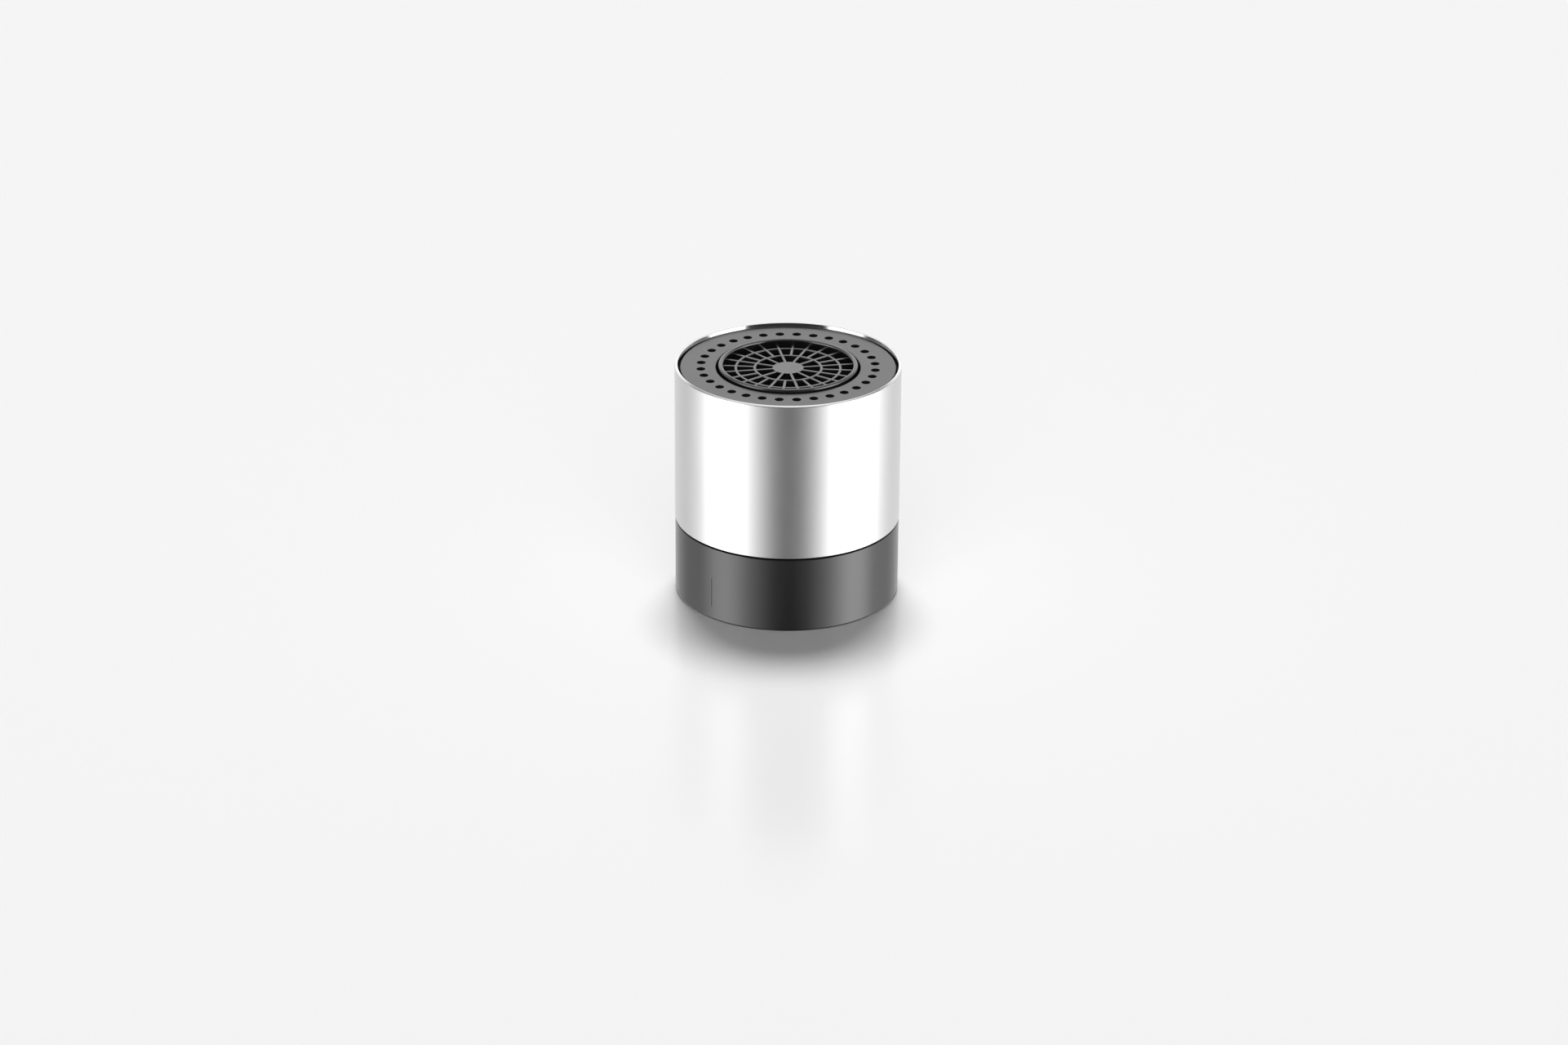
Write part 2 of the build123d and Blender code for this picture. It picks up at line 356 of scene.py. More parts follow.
def softShade(piece, sharpAbove=38):
    # smooth, with an edge only where faces meet at more degrees than this
    mesh = piece.data
    mesh.polygons.foreach_set("use_smooth", [True] * len(mesh.polygons))
    mesh.set_sharp_from_angle(angle=math.radians(sharpAbove))
    weighted = piece.modifiers.new("evenShade", "WEIGHTED_NORMAL")
    weighted.keep_sharp = True
    return settle(piece)


def fit(piece, body, slot, finish, *nodes):
    if not piece.data.materials:
        piece.data.materials.append(finish)
    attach(piece, body)
    if nodes:
        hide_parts(*nodes)
    print(piece.name, len(piece.data.polygons), "faces")


# node tree helpers
def newTree(name, sizes):
    tree = bpy.data.node_groups.new(name, "GeometryNodeTree")
    tree.interface.new_socket("Geometry", in_out="INPUT", socket_type="NodeSocketGeometry")
    for label, value in sizes.items():
        kind = "NodeSocketInt" if isinstance(value, int) else "NodeSocketFloat"
        tree.interface.new_socket(label, in_out="INPUT", socket_type=kind)
    tree.interface.new_socket("Material", in_out="INPUT", socket_type="NodeSocketMaterial")
    tree.interface.new_socket("Geometry", in_out="OUTPUT", socket_type="NodeSocketGeometry")
    return tree, tree.nodes.new("NodeGroupInput").outputs


def realized(tree, geometry):
    return addNode(tree, "GeometryNodeRealizeInstances", {"Geometry": geometry}).outputs[0]


def endTree(tree, given, geometry):
    values = {"Geometry": realized(tree, geometry), "Material": given["Material"]}
    dressed = addNode(tree, "GeometryNodeSetMaterial", values).outputs[0]
    addNode(tree, "NodeGroupOutput", {0: dressed})
    return tree


def grow(name, tree, sizes, finish, seed=None):
    piece = newObject(name, seed or bpy.data.meshes.new(name + "Seed"))
    tool = piece.modifiers.new("grow", "NODES")
    tool.node_group = tree
    for item in tree.interface.items_tree:
        if item.in_out == "INPUT" and item.name in sizes:
            tool[item.identifier] = sizes[item.name]
        if item.in_out == "INPUT" and item.name == "Material":
            tool[item.identifier] = finish
    return settle(piece)


def upright(tree, curve):
    return addNode(tree, "GeometryNodeSetCurveNormal", {"Curve": curve}, mode="Z_UP").outputs[0]


def circle(tree, radius, sides):
    values = {"Resolution": sides, "Radius": radius}
    return addNode(tree, "GeometryNodeCurvePrimitiveCircle", values).outputs[0]


def lineOut(tree, inner, outer):
    ends = {"Start": spotAt(tree, x=inner), "End": spotAt(tree, x=outer)}
    return addNode(tree, "GeometryNodeCurvePrimitiveLine", ends).outputs[0]


def softBar(tree, width, height, edge, steps=3):
    values = {"Width": width, "Height": height}
    bar = addNode(tree, "GeometryNodeCurvePrimitiveQuadrilateral", values).outputs[0]
    values = {"Curve": bar, "Count": steps, "Radius": edge}
    return addNode(tree, "GeometryNodeFilletCurve", values, mode="POLY").outputs[0]


def sweep(tree, path, section):
    values = {"Curve": upright(tree, path), "Profile Curve": section, "Fill Caps": True}
    return addNode(tree, "GeometryNodeCurveToMesh", values).outputs[0]


def moved(tree, geometry, shift):
    return addNode(tree, "GeometryNodeTransform", {"Geometry": geometry, "Translation": shift}).outputs[0]


def turned(tree, geometry, angle):
    values = {"Geometry": geometry, "Rotation": (0, 0, angle)}
    return addNode(tree, "GeometryNodeTransform", values).outputs[0]


def raised(tree, geometry, height):
    return moved(tree, geometry, spotAt(tree, z=height))


def copiesOn(tree, points, geometry, **inputs):
    values = {"Points": points, "Instance": geometry, **inputs}
    return realized(tree, addNode(tree, "GeometryNodeInstanceOnPoints", values).outputs[0])


def roundTheAxis(tree, geometry, count, start):
    points = addNode(tree, "GeometryNodePoints", {"Count": count}).outputs[0]
    step = calc(tree, "DIVIDE", 2 * math.pi, count)
    index = tree.nodes.new("GeometryNodeInputIndex").outputs[0]
    angle = calc(tree, "MULTIPLY_ADD", index, step, start)
    turn = addNode(tree, "FunctionNodeEulerToRotation", {0: spotAt(tree, z=angle)}).outputs[0]
    return copiesOn(tree, points, geometry, Rotation=turn)


# turned rings: the metal sleeve and the rubber washer, in mm
sleeveLow, sleeveHigh = (corner.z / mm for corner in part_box("sleeve"))
sleeveSizes = {
    "bore": 15.35,
    "outside": 15.9,
    "boreEdge": 0.05,
    "footEdge": 0.14,
    "slope": 15.63,  # the rim slopes down outwards from here
    "slopeDepth": 0.17,
    "slopeEdges": (0.16, 0.08),
    "flare": 15.5,  # and inwards from here
    "flareDepth": 0.6,
    "flareEdges": (0.12, 0.1),
    "sides": 256,
}
washerSizes = {"bore": 7.8, "outside": 11.2, "low": 7.5, "high": 9.0, "edge": 0.3, "sides": 160}


def makeRing(name, section, sides):
    build = bmesh.new()
    turnSection(build, roundLoop(section), sides)
    return softShade(newObject(name, meshFrom(name, build)))


def makeSleeve(sizes):
    bore, outside = sizes["bore"], sizes["outside"]
    section = [
        (bore, sleeveLow, sizes["boreEdge"]),
        (outside, sleeveLow, sizes["footEdge"]),
        (outside, sleeveHigh - sizes["slopeDepth"], sizes["slopeEdges"][0]),
        (sizes["slope"], sleeveHigh, sizes["slopeEdges"][1]),
        (sizes["flare"], sleeveHigh, sizes["flareEdges"][0]),
        (bore, sleeveHigh - sizes["flareDepth"], sizes["flareEdges"][1]),
    ]
    return makeRing("metalSleeve", section, sizes["sides"])


def makeWasher(sizes):
    bore, outside, low, high = (sizes[key] for key in ("bore", "outside", "low", "high"))
    corners = [(bore, low), (outside, low), (outside, high), (bore, high)]
    return makeRing("rubberWasher", [(*corner, sizes["edge"]) for corner in corners], sizes["sides"])


sleeve = makeSleeve(sleeveSizes)
fit(sleeve, "head", "sleeve_metal", chrome, "sleeve")
washer = makeWasher(washerSizes)
fit(washer, "inlet", "seal_rubber", rubber, "inlet_washer")


# black collar, in mm: turned outside, thread socket, hollow stem with its ports and the stop slot
collarSizes = {
    "outside": 15.85,
    "high": 10.86,
    "stem": 9.79,
    "stemHigh": 17.86,
    "throat": 8.0,
    "throatHigh": 13.86,
    "relief": 11.3,
    "reliefLow": 7.5,
    "reliefHigh": 9.5,
    "socket": 11.0,
    "leadIn": 0.5,
    "fineEdge": 0.1,
    "footEdge": 0.3,
    "stemEdge": 0.25,
    "throatEdge": 0.3,
    "sides": 192,
    "port": {
        "middle": 5.9, "bore": 1.8, "low": 13.4, "seat": 2.69, "seatLow": 15.46, "high": 18.4, "sides": 48,
    },
    "screwHole": {"bore": 1.55, "low": 14.56, "high": 18.4, "sides": 40},
    "slot": {
        "inner": 12.2, "outer": 13.8, "low": 8.88, "high": 11.5, "start": -8.44, "sweep": 106.88, "steps": 48,
    },
    "mark": {"angle": 228.5, "low": 1.9, "high": 6.3, "width": 0.09, "depth": 0.05},
}


def collarSection(sizes):
    outside, stem, throat = sizes["outside"], sizes["stem"], sizes["throat"]
    socket, relief, fine = sizes["socket"], sizes["relief"], sizes["fineEdge"]
    return [
        (socket + sizes["leadIn"], 0, fine),
        (outside, 0, sizes["footEdge"]),
        (outside, sizes["high"], fine),
        (stem, sizes["high"], 0),
        (stem, sizes["stemHigh"], sizes["stemEdge"]),
        (0, sizes["stemHigh"], 0),
        (0, sizes["throatHigh"], 0),
        (throat, sizes["throatHigh"], sizes["throatEdge"]),
        (throat, sizes["reliefHigh"], fine),
        (relief, sizes["reliefHigh"], 0),
        (relief, sizes["reliefLow"], 0),
        (socket, sizes["reliefLow"], 0),
        (socket, sizes["leadIn"], fine),
    ]


def portShells(build, port):
    bore, seat, low, high = port["bore"], port["seat"], port["low"], port["high"]
    loop = [(0, low), (bore, low), (bore, port["seatLow"]), (seat, port["seatLow"]), (seat, high), (0, high)]
    for side in (1, -1):
        turnSection(build, inMetres(loop), port["sides"], (side * port["middle"] * mm, 0))


def screwHoleShell(build, hole):
    bore, low, high = hole["bore"], hole["low"], hole["high"]
    turnSection(build, inMetres([(0, low), (bore, low), (bore, high), (0, high)]), hole["sides"])


def slotShell(build, slot):
    inner, outer, low, high = (slot[key] for key in ("inner", "outer", "low", "high"))
    corners = inMetres([(inner, low), (outer, low), (outer, high), (inner, high)])
    rows = []
    for i in range(slot["steps"] + 1):
        angle = math.radians(slot["start"] + slot["sweep"] * i / slot["steps"])
        rows.append([build.verts.new(onCircle(radius, angle, height)) for radius, height in corners])
    for a, b in zip(rows, rows[1:]):
        for i in range(len(corners)):
            j = (i + 1) % len(corners)
            build.faces.new((a[i], a[j], b[j], b[i]))
    build.faces.new(rows[0])
    build.faces.new(rows[-1])


def markShell(build, mark, radius):
    # fine upright score in the wall, as the photo shows it
    height = mark["high"] - mark["low"]
    middle = (mark["low"] + mark["high"]) / 2
    size = Matrix.Diagonal((2 * mark["depth"] * mm, mark["width"] * mm, height * mm, 1))
    turn = Matrix.Rotation(math.radians(mark["angle"]), 4, "Z")
    place = turn @ Matrix.Translation((radius * mm, 0, middle * mm))
    bmesh.ops.create_cube(build, size=1, matrix=place @ size)


def makeCollar(sizes):
    build = bmesh.new()
    turnSection(build, roundLoop(collarSection(sizes)), sizes["sides"])
    collar = newObject("inletCollar", meshFrom("inletCollar", build))
    build = bmesh.new()
    portShells(build, sizes["port"])
    screwHoleShell(build, sizes["screwHole"])
    slotShell(build, sizes["slot"])
    markShell(build, sizes["mark"], sizes["outside"])
    return softShade(cutBy(collar, newObject("collarCutter", meshFrom("collarCutter", build))))


collar = makeCollar(collarSizes)
fit(collar, "inlet", "collar_plastic", collarBlack, "inlet_collar")


# inlet thread: a ridge that climbs the socket's wall and fades at both ends
threadSizes = {
    "Radius": 11.03 * mm,
    "Start Height": 0.9 * mm,
    "Length": 6.1 * mm,
    "Turns": 6.1,
    "Root": 0.86 * mm,
    "Crest": 0.14 * mm,
    "Depth": 0.56 * mm,
    "Fade": 0.03,
    "Tip": 0.05,
    "Sides": 96,
}


def insideThreadTree(sizes):
    tree, given = newTree("insideThread", sizes)
    helix = addNode(tree, "GeometryNodeCurveSpiral", {
        "Resolution": given["Sides"], "Rotations": given["Turns"], "Start Radius": given["Radius"],
        "End Radius": given["Radius"], "Height": given["Length"], "Reverse": True,
    }).outputs[0]
    along = tree.nodes.new("GeometryNodeSplineParameter").outputs["Factor"]
    nearEnd = calc(tree, "MINIMUM", along, calc(tree, "SUBTRACT", 1.0, along))
    share = between(tree, nearEnd, 0.0, given["Fade"], given["Tip"], 1.0)
    helix = addNode(tree, "GeometryNodeSetCurveRadius", {"Curve": helix, "Radius": share}).outputs[0]
    tooth = addNode(tree, "GeometryNodeCurvePrimitiveQuadrilateral", {
        "Bottom Width": given["Root"], "Top Width": given["Crest"], "Height": given["Depth"], "Offset": 0.0,
    }, mode="TRAPEZOID").outputs[0]
    tooth = moved(tree, tooth, spotAt(tree, y=calc(tree, "DIVIDE", given["Depth"], 2.0)))
    ridge = sweep(tree, helix, turned(tree, tooth, math.pi / 2))
    return endTree(tree, given, raised(tree, ridge, given["Start Height"]))


thread = grow("inletThread", insideThreadTree(threadSizes), threadSizes, collarBlack)
softShade(thread, sharpAbove=30)
fit(thread, "inlet", "collar_plastic", collarBlack)


# strainer: woven wire in a pressed rim
strainerSizes = {
    "Wire": 0.13 * mm,
    "Pitch": 0.75 * mm,
    "Wires": 21,
    "Wire Steps": 125,
    "Wire Sides": 6,
    "Reach": 7.75 * mm,
    "Middle Height": 9.25 * mm,
    "Rim Middle": 9.35 * mm,
    "Rim Width": 3.7 * mm,
    "Rim Height": 0.5 * mm,
    "Rim Edge": 0.12 * mm,
    "Rim Sides": 128,
}


def wireLayer(tree, given, turn, phase):
    # parallel wires that go over and under those of the other layer
    line = lineOut(tree, calc(tree, "MULTIPLY", given["Reach"], -1.0), given["Reach"])
    values = {"Curve": line, "Count": given["Wire Steps"]}
    line = addNode(tree, "GeometryNodeResampleCurve", values).outputs[0]
    gaps = calc(tree, "DIVIDE", calc(tree, "SUBTRACT", given["Wires"], 1), 2.0)
    half = calc(tree, "MULTIPLY", given["Pitch"], gaps)
    rows = addNode(tree, "GeometryNodePoints", {"Count": given["Wires"]}).outputs[0]
    index = tree.nodes.new("GeometryNodeInputIndex").outputs[0]
    across = calc(tree, "SUBTRACT", calc(tree, "MULTIPLY", index, given["Pitch"]), half)
    values = {"Geometry": rows, "Position": spotAt(tree, y=across)}
    rows = addNode(tree, "GeometryNodeSetPosition", values).outputs[0]
    wires = copiesOn(tree, rows, line)
    place = tree.nodes.new("GeometryNodeInputPosition").outputs[0]
    parts = addNode(tree, "ShaderNodeSeparateXYZ", {0: place}).outputs
    wave = calc(tree, "DIVIDE", math.pi, given["Pitch"])
    swing = calc(tree, "COSINE", calc(tree, "MULTIPLY", parts["X"], wave))
    side = calc(tree, "COSINE", calc(tree, "MULTIPLY_ADD", parts["Y"], wave, phase))
    radius = calc(tree, "MULTIPLY", given["Wire"], 0.5)
    rise = calc(tree, "MULTIPLY", calc(tree, "MULTIPLY", swing, side), radius)
    values = {"Geometry": wires, "Offset": spotAt(tree, z=rise)}
    wires = addNode(tree, "GeometryNodeSetPosition", values).outputs[0]
    values = {0: lengthOf(tree, place), 1: given["Reach"]}
    outside = addNode(tree, "FunctionNodeCompare", values, operation="GREATER_THAN").outputs[0]
    values = {"Geometry": wires, "Selection": outside}
    wires = addNode(tree, "GeometryNodeDeleteGeometry", values, domain="POINT").outputs[0]
    return turned(tree, sweep(tree, wires, circle(tree, radius, given["Wire Sides"])), turn)


def wovenStrainerTree(sizes):
    tree, given = newTree("wovenStrainer", sizes)
    shapes = [wireLayer(tree, given, 0.0, 0.0), wireLayer(tree, given, math.pi / 2, math.pi)]
    rimSection = softBar(tree, given["Rim Width"], given["Rim Height"], given["Rim Edge"])
    shapes.append(sweep(tree, circle(tree, given["Rim Middle"], given["Rim Sides"]), rimSection))
    joined = tree.nodes.new("GeometryNodeJoinGeometry")
    for shape in shapes:
        tree.links.new(shape, joined.inputs[0])
    return endTree(tree, given, raised(tree, joined.outputs[0], given["Middle Height"]))


strainer = softShade(grow("wovenStrainer", wovenStrainerTree(strainerSizes), strainerSizes, steel))
fit(strainer, "inlet", "steel", steel, "inlet_strainer")


# spray face: one sector with its hole, set round the axis
faceLow, faceHigh = (corner.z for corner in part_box("spray_face"))
faceSizes = {
    "Holes": 32,
    "Start Angle": math.radians(5.625),
    "Weld": 0.001 * mm,
    "inner": 10.1 * mm,
    "outer": 15.1 * mm,
    "holeCircle": 12.25 * mm,
    "hole": 0.62 * mm,
    "lip": 0.025 * mm,
    "hold": 0.04 * mm,  # flat row beside a rounding, keeps the shading even
    "innerEdge": 0.2 * mm,
    "outerEdge": 0.1 * mm,
    "sideSteps": 8,
    "edgeSteps": 4,
}


def holeSector(sizes):
    build = bmesh.new()
    half = math.pi / sizes["Holes"]
    count = sizes["sideSteps"]
    inner, outer, lip, hold = sizes["inner"], sizes["outer"], sizes["lip"], sizes["hold"]
    topInner, topOuter = inner + sizes["innerEdge"], outer - sizes["outerEdge"]

    def outline(low, high, height):
        # sector outline: outer arc, side, inner arc, side
        spots = []
        for i in range(count):
            spots.append((high, -half + 2 * half * i / count))
        for i in range(count):
            spots.append((high + (low - high) * i / count, half))
        for i in range(count):
            spots.append((low, half - 2 * half * i / count))
        for i in range(count):
            spots.append((low + (high - low) * i / count, -half))
        return [build.verts.new(onCircle(r, a, height)) for r, a in spots]

    def holeRing(radius, height):
        # starts at the outline's first corner, so that the rows between them run straight
        middle = (sizes["holeCircle"], 0)
        first = math.atan2(-outer * math.sin(half), outer * math.cos(half) - sizes["holeCircle"])
        angles = [first + 2 * math.pi * i / (4 * count) for i in range(4 * count)]
        return [build.verts.new(onCircle(radius, a, height, middle)) for a in angles]

    def strip(a, b, closed=True):
        for i in range(len(a) if closed else len(a) - 1):
            j = (i + 1) % len(a)
            build.faces.new((a[i], a[j], b[j], b[i]))

    arc = [math.pi / 2 * i / sizes["edgeSteps"] for i in range(sizes["edgeSteps"] + 1)]
    top = outline(topInner + hold, topOuter - hold, faceHigh)
    bottom = outline(inner, outer, faceLow)
    mouth = sizes["hole"] + lip
    rings = [top, holeRing(mouth + hold, faceHigh)]
    rings += [holeRing(mouth - lip * math.sin(a), faceHigh - lip + lip * math.cos(a)) for a in arc]
    rings += [holeRing(sizes["hole"], faceLow), bottom]
    for a, b in zip(rings, rings[1:]):
        strip(a, b)
    outerRow, innerRow = slice(0, count + 1), slice(2 * count, 3 * count + 1)
    for part, rim, way, edge in (
        (outerRow, topOuter, 1, sizes["outerEdge"]),
        (innerRow, topInner, -1, sizes["innerEdge"]),
    ):
        rows = [top[part]]
        angles = [math.atan2(vertex.co.y, vertex.co.x) for vertex in top[part]]
        for a in arc:
            radius, height = rim + way * edge * math.sin(a), faceHigh - edge + edge * math.cos(a)
            rows.append([build.verts.new(onCircle(radius, angle, height)) for angle in angles])
        rows.append(bottom[part])
        for a, b in zip(rows, rows[1:]):
            strip(a, b, False)
    return meshFrom("holeSector", build)


def roundArrayTree(sizes):
    tree, given = newTree("roundArray", {key: sizes[key] for key in ("Holes", "Start Angle", "Weld")})
    copies = roundTheAxis(tree, given["Geometry"], given["Holes"], given["Start Angle"])
    values = {"Geometry": copies, "Distance": given["Weld"]}
    return endTree(tree, given, addNode(tree, "GeometryNodeMergeByDistance", values).outputs[0])


face = softShade(grow("sprayFace", roundArrayTree(faceSizes), faceSizes, faceBlack, holeSector(faceSizes)))
fit(face, "head", "face_plastic", faceBlack, "spray_face")


# aerator insert: turned housing with its air windows, and the spoked outlet grille in one moulding
insertLow, insertHigh = (corner.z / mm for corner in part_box("aerator_housing"))
insertSizes = {
    "housing": {  # in mm
        "bore": 9.1, "outside": 9.8, "foot": 10.05, "footHeight": 1.0,
        "footEdge": 0.1, "ringEdge": 0.33, "sides": 160,
    },
    "Hub": 2.17 * mm,
    "Hub Sides": 96,
    "Hub Overlap": 0.6,
    "Inner Ring": 4.68 * mm,
    "Outer Ring": 7.33 * mm,
    "Ring Sides": 144,
    "Reach": 9.4 * mm,
    "Bar": 0.4 * mm,
    "Depth": 1.6 * mm,
    "Edge": 0.09 * mm,
    "Top": 33.37 * mm,
    "Spokes": 12,
    "Start Angle": math.radians(10.4),
    "Windows": 8,
    "Window Width": 4.0 * mm,
    "Window Height": 1.8 * mm,
    "Window Depth": 3.0 * mm,
    "Window Middle": 27.41 * mm,
}


def airWindows(tree, given):
    size = spotAt(tree, given["Window Depth"], given["Window Width"], given["Window Height"])
    block = addNode(tree, "GeometryNodeMeshCube", {"Size": size}).outputs["Mesh"]
    block = moved(tree, block, spotAt(tree, x=given["Reach"], z=given["Window Middle"]))
    return roundTheAxis(tree, block, given["Windows"], 0.0)


def grilleShapes(tree, given):
    section = softBar(tree, given["Bar"], given["Depth"], given["Edge"])
    middle = calc(tree, "SUBTRACT", given["Top"], calc(tree, "DIVIDE", given["Depth"], 2.0))
    shapes = []
    for ring in ("Inner Ring", "Outer Ring"):
        bar = sweep(tree, circle(tree, given[ring], given["Ring Sides"]), section)
        shapes.append(raised(tree, bar, middle))
    # every other spoke ends at the inner ring
    inHub = calc(tree, "MULTIPLY", given["Hub"], given["Hub Overlap"])
    halfPitch = calc(tree, "DIVIDE", math.pi, given["Spokes"])
    shortStart = calc(tree, "ADD", given["Start Angle"], halfPitch)
    for inner, start in ((inHub, given["Start Angle"]), (given["Inner Ring"], shortStart)):
        spoke = raised(tree, sweep(tree, lineOut(tree, inner, given["Reach"]), section), middle)
        shapes.append(roundTheAxis(tree, spoke, given["Spokes"], start))
    values = {"Vertices": given["Hub Sides"], "Radius": given["Hub"], "Depth": given["Depth"]}
    hub = addNode(tree, "GeometryNodeMeshCylinder", values).outputs["Mesh"]
    return shapes + [raised(tree, hub, middle)]


def spokedInsertTree(sizes):
    tree, given = newTree("spokedInsert", {key: value for key, value in sizes.items() if key != "housing"})
    shapes = grilleShapes(tree, given)
    values = {"Mesh 1": given["Geometry"], "Mesh 2": airWindows(tree, given)}
    body = addNode(tree, "GeometryNodeMeshBoolean", values, operation="DIFFERENCE", solver="EXACT").outputs[0]
    union = addNode(tree, "GeometryNodeMeshBoolean", operation="UNION", solver="EXACT")
    for shape in (body, *shapes):
        tree.links.new(shape, union.inputs["Mesh 2"])
    return endTree(tree, given, union.outputs[0])


def housingSeed(sizes):
    bore, outside, foot = sizes["bore"], sizes["outside"], sizes["foot"]
    footHigh = insertLow + sizes["footHeight"]
    section = [
        (bore, insertLow, 0),
        (foot, insertLow, sizes["footEdge"]),
        (foot, footHigh, sizes["footEdge"]),
        (outside, footHigh, 0),
        (outside, insertHigh, sizes["ringEdge"]),
        (bore, insertHigh, sizes["ringEdge"]),
    ]
    build = bmesh.new()
    turnSection(build, roundLoop(section), sizes["sides"])
    return meshFrom("insertSeed", build)


def makeInsert(sizes):
    seed = housingSeed(sizes["housing"])
    return softShade(grow("aeratorInsert", spokedInsertTree(sizes), sizes, insertBlack, seed))


insert = makeInsert(insertSizes)
fit(insert, "head", "face_plastic", insertBlack, "aerator_housing")


# solids that stay as they are get their finishes
keptFinishes = {
    "stem_seal": rubber,
    "port_seal_1": rubber,
    "port_seal_2": rubber,
    "screw_seal": rubber,
    "aerator_gasket": rubber,
    "face_gasket_outer": rubber,
    "face_gasket_inner": rubber,
    "pivot_washer": steel,
    "pivot_screw": steel,
    "diverter_core": innerBlack,
    "jet_plate": innerBlack,
    "screen_lower": innerBlack,
    "screen_spacer": innerBlack,
    "screen_upper": innerBlack,
}
for node, finish in keptFinishes.items():
    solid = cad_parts[node]
    solid.data.materials.clear()
    solid.data.materials.append(finish)
print("kept solids dressed:", len(keptFinishes))


# pale floor
floorSizes = {"side": 12.0, "drop": 0.02 * mm, "tone": (0.83, 0.83, 0.83), "gloss": 0.11, "rough": 0.2}


def makeFloor(sizes):
    build = bmesh.new()
    bmesh.ops.create_grid(build, x_segments=1, y_segments=1, size=sizes["side"] / 2)
    floor = newObject("paleFloor", meshFrom("paleFloor", build))
    for vertex in floor.data.vertices:
        vertex.co.z = -sizes["drop"]
    finish, tree = emptyFinish("paleFloor")
    tone = (*sizes["tone"], 1)
    matt = addNode(tree, "ShaderNodeBsdfDiffuse", {"Color": tone}).outputs[0]
    sheen = addNode(tree, "ShaderNodeBsdfGlossy", {"Color": tone, "Roughness": sizes["rough"]}).outputs[0]
    mixed = addNode(tree, "ShaderNodeMixShader", {0: sizes["gloss"], 1: matt, 2: sheen}).outputs[0]
    addNode(tree, "ShaderNodeOutputMaterial", {"Surface": mixed})
    floor.data.materials.append(finish)
    floor.visible_glossy = False
    floor.visible_shadow = False


makeFloor(floorSizes)


# soft studio light: what the part mirrors is the world, what lights the floor is two soft suns
worldSizes = {
    "strength": 3.4,
    # levels from the camera's side (0) round to the back (1): below the horizon, just above it, higher up
    "table": [
        (0.0, 0.045), (0.055, 0.063), (0.11, 0.135), (0.22, 0.41), (0.335, 0.92),
        (0.375, 1.0), (0.445, 0.9), (0.55, 0.38), (0.7, 0.25), (1.0, 0.32),
    ],
    "wall": [
        (0.0, 0.01), (0.23, 0.01), (0.26, 1.0), (0.45, 1.0),
        (0.49, 0.02), (0.65, 0.05), (0.85, 0.45), (1.0, 0.466),
    ],
    "upper": [
        (0.0, 0.01), (0.23, 0.01), (0.26, 1.0), (0.45, 1.0),
        (0.55, 0.33), (0.75, 0.3), (0.85, 0.45), (1.0, 0.466),
    ],
    # heights where one passes into the next, as the z of the direction
    "footRise": (-0.8, -0.55),
    "wallRise": (-0.05, 0.02),
    "upperRise": (0.1, 0.18),
    "topFall": (0.5, 0.65),
    "dim": 0.1,
    "turn": math.radians(2.0),
    "lean": 0.18,
    "domeHeight": math.radians(78),
    "domeInner": math.radians(20),
    "domeOuter": math.radians(45),
    "domeLevel": 0.33,
    "backdrop": (0.92, 0.92, 0.92),
}
sunSizes = {
    "keySun": {"energy": 2.80, "angle": math.radians(19), "height": math.radians(70)},
    "frontSun": {"energy": 1.07, "angle": math.radians(60), "height": math.radians(135)},
}


def levelRamp(tree, share, stops):
    ramp = addNode(tree, "ShaderNodeValToRGB", {0: share})
    places = ramp.color_ramp.elements
    while len(places) > 1:
        places.remove(places[-1])
    for i, (position, level) in enumerate(stops):
        place = places.new(position) if i else places[0]
        place.position = position
        place.color = (level, level, level, 1)
    return ramp.outputs[0]


def mixLevels(tree, share, first, second):
    return addNode(tree, "ShaderNodeMix", {0: share, 2: first, 3: second}).outputs[0]


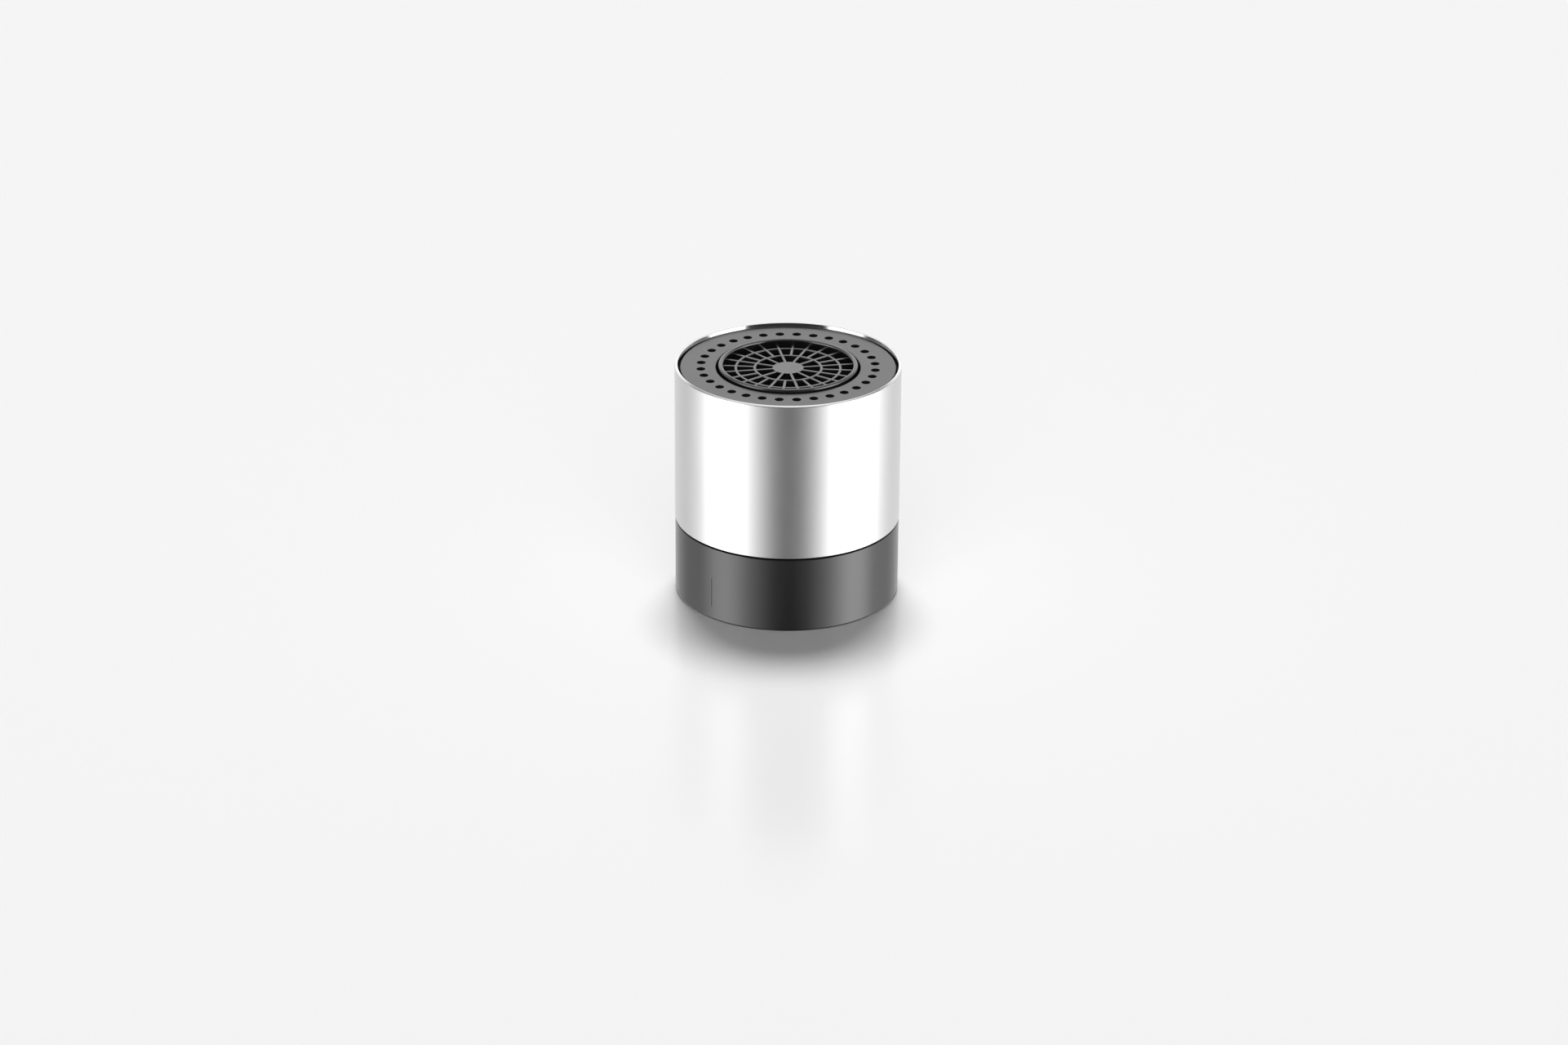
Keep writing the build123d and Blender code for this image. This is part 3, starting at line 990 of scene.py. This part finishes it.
def roundLevels(tree, place, sizes):
    # light round the horizon, a little stronger on one side
    x, y, z = addNode(tree, "ShaderNodeSeparateXYZ", {0: place}).outputs
    around = calc(tree, "ARCTAN2", x, calc(tree, "MULTIPLY", y, -1.0))
    around = calc(tree, "SUBTRACT", around, sizes["turn"])
    share = calc(tree, "DIVIDE", calc(tree, "ABSOLUTE", around), math.pi)
    table, wall, upper = (levelRamp(tree, share, sizes[key]) for key in ("table", "wall", "upper"))
    wall = mixLevels(tree, between(tree, z, *sizes["upperRise"], 0.0, 1.0), wall, upper)
    level = mixLevels(tree, between(tree, z, *sizes["wallRise"], 0.0, 1.0), table, wall)
    sideways = calc(tree, "MULTIPLY", calc(tree, "MULTIPLY", x, x), x)
    level = calc(tree, "MULTIPLY", level, calc(tree, "MULTIPLY_ADD", sideways, sizes["lean"], 1.0))
    level = calc(tree, "MULTIPLY", level, between(tree, z, *sizes["topFall"], 1.0, sizes["dim"]))
    return calc(tree, "MULTIPLY", level, between(tree, z, *sizes["footRise"], sizes["dim"], 1.0))


def domeLevels(tree, place, sizes):
    middle = (0.0, math.cos(sizes["domeHeight"]), math.sin(sizes["domeHeight"]))
    values = {0: place, 1: middle}
    near = addNode(tree, "ShaderNodeVectorMath", values, operation="DOT_PRODUCT").outputs["Value"]
    outer, inner = math.cos(sizes["domeOuter"]), math.cos(sizes["domeInner"])
    return between(tree, near, outer, inner, 0.0, sizes["domeLevel"])


def studioWorld(sizes):
    world = bpy.data.worlds.new("studio")
    scene.world = world
    world.use_nodes = True
    world.cycles_visibility.diffuse = False
    tree = world.node_tree
    tree.nodes.clear()
    place = tree.nodes.new("ShaderNodeTexCoord").outputs["Generated"]
    level = calc(tree, "ADD", roundLevels(tree, place, sizes), domeLevels(tree, place, sizes))
    level = calc(tree, "MULTIPLY", level, sizes["strength"])
    lit = addNode(tree, "ShaderNodeBackground", {"Strength": level}).outputs[0]
    plain = addNode(tree, "ShaderNodeBackground", {"Color": (*sizes["backdrop"], 1)}).outputs[0]
    seen = tree.nodes.new("ShaderNodeLightPath").outputs["Is Camera Ray"]
    mixed = addNode(tree, "ShaderNodeMixShader", {0: seen, 1: lit, 2: plain}).outputs[0]
    addNode(tree, "ShaderNodeOutputWorld", {"Surface": mixed})


def placeSun(name, sizes):
    data = bpy.data.lights.new(name, "SUN")
    data.energy = sizes["energy"]
    data.angle = sizes["angle"]
    sun = bpy.data.objects.new(name, data)
    sun.rotation_euler.x = sizes["height"] - math.pi / 2
    sun.visible_glossy = False
    scene.collection.objects.link(sun)


studioWorld(worldSizes)
for name, sizes in sunSizes.items():
    placeSun(name, sizes)
print("floor and light made")
